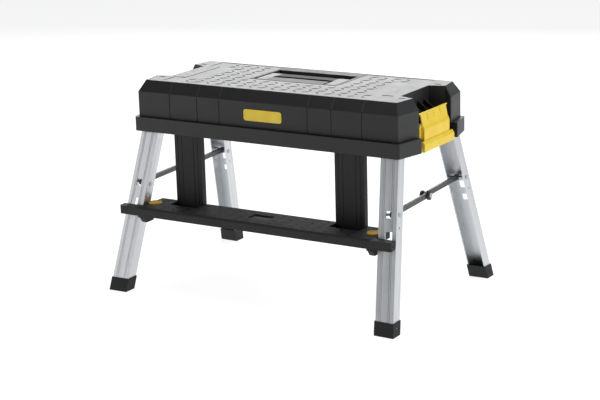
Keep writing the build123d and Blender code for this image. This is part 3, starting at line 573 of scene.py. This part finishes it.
# %% [markdown]
# ## Helpers for new pieces
#
# Every modelled piece is a mesh from points and faces that rides on a CAD body. Some add to what the
# CAD has, and some stand for a CAD part, which is then hidden. Those are also cleaned and can have
# their edges softened by a bevel.

# %% Piece helpers
WELD = 1e-6
SOFTEN_OVER = math.radians(28)


def addition(name, shape, body, slot):
    """A mesh piece that rides on a body and takes a slot's finish."""
    points, faces = shape
    mesh = bpy.data.meshes.new(name)
    mesh.from_pydata(points, [], faces)
    mesh.materials.append(finishes[slot])
    made = bpy.data.objects.new(name, mesh)
    bpy.context.scene.collection.objects.link(made)
    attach(made, body)
    return made


def clean(mesh):
    """Welds points that coincide and turns every face outward."""
    tidy = bmesh.new()
    tidy.from_mesh(mesh)
    bmesh.ops.remove_doubles(tidy, verts=tidy.verts, dist=WELD)
    bmesh.ops.recalc_face_normals(tidy, faces=tidy.faces)
    tidy.to_mesh(mesh)
    tidy.free()


def replacement(name, shape, body, slot, stands_for, soft=0.0):
    """A mesh piece that stands for a CAD part, its edges softened by a width."""
    made = addition(name, shape, body, slot)
    clean(made.data)
    if soft:
        bevel = made.modifiers.new("soft_edges", "BEVEL")
        bevel.width = soft
        bevel.segments = 2
        bevel.limit_method = "ANGLE"
        bevel.angle_limit = SOFTEN_OVER
    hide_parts(stands_for)


print("edges sharper than", round(math.degrees(SOFTEN_OVER)), "degrees can be softened")

# %% [markdown]
# ## The treads
#
# The top and the step are moulded with small lozenges, each turned the other way from the one beside
# it, so that a boot grips in every direction. On the top they are real bumps rather than a pattern,
# because the lamp behind catches their far sides. Each lozenge is a long diamond with a flat crown,
# open underneath. Lozenges keep to a tread's rooms and stay clear of its holes.

# %% Lozenges
PITCH_X = 28.0 * MM
PITCH_Y = 20.5 * MM
HALF_LENGTH = 10.0 * MM
HALF_WIDTH = 3.5 * MM
TURN = math.radians(38)
CROWN = 0.66
MARGIN = 8.4 * MM


def joined(*shapes):
    """Several sets of points and faces as one."""
    points, faces = [], []
    for more_points, more_faces in shapes:
        start = len(points)
        points += more_points
        faces += [tuple(start + k for k in face) for face in more_faces]
    return points, faces


def lozenge(centre_x, centre_y, turn, low, high):
    """Points and faces of one raised diamond."""
    corners = [(HALF_LENGTH, 0), (0, HALF_WIDTH), (-HALF_LENGTH, 0), (0, -HALF_WIDTH)]
    c, s = math.cos(turn), math.sin(turn)
    points = []
    for share, z in ((1.0, low), (CROWN, high)):
        for x, y in corners:
            x, y = x * share, y * share
            points.append((centre_x + c * x - s * y, centre_y + s * x + c * y, z))
    sides = [(i, (i + 1) % 4, 4 + (i + 1) % 4, 4 + i) for i in range(4)]
    return points, sides + [(4, 5, 6, 7)]


def within(x, y, box, margin):
    """True inside a box drawn in by a margin, or let out by a negative one."""
    x0, x1, y0, y1 = box
    return x0 + margin < x < x1 - margin and y0 + margin < y < y1 - margin


def evenly(low, high, pitch):
    """Places a pitch apart, centred between two limits."""
    count = int((high - low) / pitch)
    return [(low + high) / 2 + (i - (count - 1) / 2) * pitch for i in range(count)]


def tread_field(rooms, holes, low, high):
    """All the lozenges of a tread."""
    columns = evenly(min(room[0] for room in rooms), max(room[1] for room in rooms), PITCH_X)
    rows = evenly(min(room[2] for room in rooms), max(room[3] for room in rooms), PITCH_Y)
    shapes = []
    for i, x in enumerate(columns):
        for j, y in enumerate(rows):
            held = any(within(x, y, room, MARGIN) for room in rooms)
            blocked = any(within(x, y, hole, -MARGIN) for hole in holes)
            if held and not blocked:
                shapes.append(lozenge(x, y, TURN if (i + j) % 2 else -TURN, low, high))
    return joined(*shapes)


print("lozenge", round(2 * HALF_LENGTH / MM), "by", round(2 * HALF_WIDTH / MM), "mm")

# %% [markdown]
# ## The top
#
# The top's skin is three flat plates with a narrow seam between them, so that the seam is a real
# gap. The middle plate goes round the handle's panel, and each end plate goes round a latch recess.
# Lozenges cover the middle and run out beside the recesses, and the rest of the ends stays smooth.

# %% Outlines of the top


def slab(outline, low, high):
    """Points and faces of a flat plate from a plan outline."""
    n = len(outline)
    points = [(x, y, z) for z in (low, high) for x, y in outline]
    faces = [tuple(range(n - 1, -1, -1)), tuple(range(n, 2 * n))]
    faces += [(i, (i + 1) % n, n + (i + 1) % n, n + i) for i in range(n)]
    return points, faces


low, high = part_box("top_tread")
panel_low, panel_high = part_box("handle_panel")
EDGE_GAP = 0.5 * MM
LOZENGE_RISE = 0.65 * MM
RECESS_DEPTH = 27.0 * MM
RECESS_HALF = 69.0 * MM
SMOOTH_END = 43.0 * MM
SEAM_HALF = 1.1 * MM
FAR_BACK = 1.0  # past the back of the bench

skin_top = high.z - LOZENGE_RISE
x_out, x_in = high.x - EDGE_GAP, high.x - RECESS_DEPTH
y_out = high.y - EDGE_GAP
panel_x, panel_y = panel_high.x + EDGE_GAP, panel_low.y - EDGE_GAP
seam_x = x_in - SMOOTH_END
middle_x, end_x = seam_x - SEAM_HALF, seam_x + SEAM_HALF
middle = [(-middle_x, -y_out), (middle_x, -y_out), (middle_x, y_out), (panel_x, y_out),
          (panel_x, panel_y), (-panel_x, panel_y), (-panel_x, y_out), (-middle_x, y_out)]
right_end = [(end_x, -y_out), (x_out, -y_out), (x_out, -RECESS_HALF), (x_in, -RECESS_HALF),
             (x_in, RECESS_HALF), (x_out, RECESS_HALF), (x_out, y_out), (end_x, y_out)]
left_end = [(-x, y) for x, y in reversed(right_end)]
print("seams at", round(seam_x / MM, 1), "mm from the middle")

# %% The top's tread
rooms = [(-seam_x, seam_x, -y_out, y_out), (-x_in, x_in, -y_out, -RECESS_HALF),
         (-x_in, x_in, RECESS_HALF, y_out)]
holes = [(-panel_x, panel_x, panel_y, FAR_BACK)]
skins = [slab(outline, low.z, skin_top) for outline in (middle, right_end, left_end)]
top_shape = joined(*skins, tread_field(rooms, holes, skin_top, high.z))
replacement("top_tread_moulding", top_shape, "lid", "tread_plastic", "top_tread")
print("top tread", len(top_shape[1]), "faces")

# %% [markdown]
# ## The step
#
# The step's CAD skin already has its outline and its openings, so it stays. Its lozenges are set into
# it, with their crowns level with its top face. The holes keep them clear of the finger recess, the
# struts and the release buttons.

# %% The step's tread
low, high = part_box("step_tread")
button_low, button_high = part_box("release_button_right")
strut_low, strut_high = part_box("strut_right")
FINGER_RECESS = (-26.0 * MM, 26.0 * MM, -178.0 * MM, -148.0 * MM)
STRUT_ROOM = 1.2 * MM
STRUT_FRONT = -152.0 * MM
BUTTON_ROOM = 2.4 * MM
BUTTON_END_ROOM = 9.0 * MM
ROOT_DEPTH = 0.75 * MM

rooms = [(low.x, high.x, low.y, high.y)]
holes = [FINGER_RECESS]
for side in (1, -1):
    strut_x = sorted((side * (strut_low.x - STRUT_ROOM), side * (strut_high.x + STRUT_ROOM)))
    button_x = sorted((side * (button_low.x - BUTTON_ROOM), side * (button_high.x + BUTTON_END_ROOM)))
    holes.append((*strut_x, STRUT_FRONT, high.y))
    holes.append((*button_x, button_low.y - BUTTON_ROOM, button_high.y + BUTTON_ROOM))
step_shape = tread_field(rooms, holes, high.z - ROOT_DEPTH, high.z)
addition("step_tread_lozenges", step_shape, "step", "step_tread_plastic")
print("step tread", len(step_shape[1]), "faces")

# %% [markdown]
# ## The end latches
#
# A latch is one yellow moulding: a bar that turns on a pin, a plate that leans in towards the lid,
# a lip along its top, a thin wing each side, set back behind the plate, and three grooves for the
# fingertips. The plate is a grid over its side profile and its width, so the grooves are rows of
# points moved inward. The rest are prisms, and a bevel softens them all. A profile gives distances
# in millimetres, outward from the latch's face and up from its foot. An end view gives them across
# the latch and up. The left latch is the right one mirrored.

# %% Latch shapes
latch_low, latch_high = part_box("end_latch_right")
FRONT = latch_high.x
FOOT = latch_low.z
PLATE_HALF = 59.0 * MM
PLATE_T = 3.2 * MM
BAR_PROUD = 2.5 * MM
BAR_HALF = latch_high.y - BAR_PROUD
LIP_HALF = 65.0 * MM
WING_BACK, WING_FRONT = FRONT - 14.5 * MM, FRONT - 11.5 * MM
WALL_BACK, WALL_FRONT = FRONT - 13.0 * MM, FRONT - 5.8 * MM
GROOVES_Y = (-33.0 * MM, -3.0 * MM, 27.0 * MM)
GROOVE_DEPTH = 2.0 * MM
GROOVE_STEP = 1.1 * MM
GROOVE_BOW = 2.2 * MM
GROOVE_FOOT, GROOVE_TOP = 66.0 * MM, 77.5 * MM
SOFT_EDGE = 0.7 * MM
PLATE_SIDE = [(-4.4, 19.0), (-4.4, 22.5), (-3.8, 27.0), (-3.8, 47.0), (-7.4, 53.0), (-9.0, 60.0),
              (-10.2, 66.0), (-11.0, 70.0), (-11.8, 73.5), (-12.3, 76.5), (-12.7, 79.0), (-13.6, 80.2)]
BAR_SIDE = [(-10.0, 0.6), (-8.4, 0.0), (-1.2, 0.0), (0.0, 1.4), (0.0, 16.6), (-1.6, 18.2), (-4.6, 22.6),
            (-7.4, 22.6), (-10.0, 15.0)]
LIP_SIDE = [(-13.2, 77.4), (-12.4, 79.0), (-13.4, 80.6), (-15.4, 80.6), (-16.2, 78.6)]
WING_VIEW = [(50.0, 25.0), (62.0, 25.0), (66.0, 31.0), (66.0, 50.5), (61.0, 56.5), (50.0, 56.5)]
WALL_VIEW = [(55.6, 25.0), (58.6, 25.0), (58.6, 54.0), (55.6, 54.0)]
print("latch", round((latch_high.z - latch_low.z) / MM, 1), "mm high")

# %% The latch's plate


def groove_depth(y, rise):
    """How far a finger groove sinks the plate's face."""
    if not GROOVE_FOOT <= rise <= GROOVE_TOP:
        return 0.0
    bow = GROOVE_BOW * math.sin((rise - GROOVE_FOOT) / (GROOVE_TOP - GROOVE_FOOT) * math.pi)
    near = min(abs(y - middle_y - bow) for middle_y in GROOVES_Y)
    return GROOVE_DEPTH if near < GROOVE_STEP else 0.0


def plate_stations():
    """Places across the plate, close together at the grooves."""
    across = {-PLATE_HALF, PLATE_HALF}
    for middle_y in GROOVES_Y:
        across |= {middle_y + step * GROOVE_STEP for step in range(-2, 5)}
    return sorted(across)


def plate_shape():
    """The leaning plate as a grid of front and back points."""
    ys = plate_stations()
    rows = len(PLATE_SIDE)
    points = []
    for back in (0.0, PLATE_T):
        for y in ys:
            for out, rise in PLATE_SIDE:
                sink = 0.0 if back else groove_depth(y, rise * MM)
                points.append((FRONT + out * MM - back - sink, y, FOOT + rise * MM))
    n = len(ys) * rows
    faces = []
    for i in range(len(ys) - 1):
        for j in range(rows - 1):
            a, b = i * rows + j, (i + 1) * rows + j
            faces.append((a, b, b + 1, a + 1))
            faces.append((n + a + 1, n + b + 1, n + b, n + a))
        a, b = i * rows, (i + 1) * rows
        faces.append((a, n + a, n + b, b))
        faces.append((a + rows - 1, b + rows - 1, n + b + rows - 1, n + a + rows - 1))
    for start in (0, (len(ys) - 1) * rows):
        faces += [(start + j, start + j + 1, n + start + j + 1, n + start + j) for j in range(rows - 1)]
    return points, faces


print("plate", len(plate_shape()[1]), "faces")

# %% The whole latch


def prism(outline, low, high, placed):
    """An outline carried from low to high, with a rule that places each point."""
    n = len(outline)
    points = [placed(a * MM, b * MM, end) for end in (low, high) for a, b in outline]
    faces = [tuple(range(n - 1, -1, -1)), tuple(range(n, 2 * n))]
    faces += [(i, (i + 1) % n, n + (i + 1) % n, n + i) for i in range(n)]
    return points, faces


def latch_shape():
    """Plate, bar and lip, with a wing and a wall at each side."""
    bar = prism(BAR_SIDE, -BAR_HALF, BAR_HALF, lambda out, rise, y: (FRONT + BAR_PROUD + out, y, FOOT + rise))
    lip = prism(LIP_SIDE, -LIP_HALF, LIP_HALF, lambda out, rise, y: (FRONT + out, y, FOOT + rise))
    shapes = [plate_shape(), bar, lip]
    for side in (1, -1):
        def at_side(across, rise, x):
            return x, side * across, FOOT + rise

        shapes.append(prism(WING_VIEW, WING_BACK, WING_FRONT, at_side))
        shapes.append(prism(WALL_VIEW, WALL_BACK, WALL_FRONT, at_side))
    return joined(*shapes)


# %% Make both latches
latch_points, latch_faces = latch_shape()
for end, side in (("right", 1), ("left", -1)):
    shape = [(side * x, y, z) for x, y, z in latch_points], latch_faces
    name, part = f"latch_moulding_{end}", f"end_latch_{end}"
    replacement(name, shape, f"latch_{end}", "yellow_plastic", part, SOFT_EDGE)
print("latch", len(latch_faces), "faces")

# %% [markdown]
# ## The floor
#
# The floor stands for a studio's paper sweep. Most of its brightness is its own glow, so that it
# stays nearly white far from the lamps, and its own colour is a mid grey, so shadows stay faint.

# %% Floor
FLOOR_SIZE = 40.0


def make_floor():
    """A wide pale floor that stands for the studio."""
    glow = {"Emission_Color": (*WHITE, 1.0), "Emission_Strength": 0.85}
    finish = Finish("studio_floor", Specular_IOR_Level=0.2, **glow)
    spots = noise(finish, 9.0, 3.0)
    colour = blend(finish, spots * 0.2, grey(0.32), grey(0.29))
    material = finish.surface(Base_Color=colour, Roughness=0.8)
    bpy.ops.mesh.primitive_plane_add(size=FLOOR_SIZE, location=(0.0, 0.0, 0.0))
    floor = bpy.context.object
    floor.name = "floor"
    floor.data.materials.append(material)


make_floor()
print("floor", FLOOR_SIZE, "m square")

# %% [markdown]
# ## The end

# The visual model has to stay within the CAD's box.

# %% The end
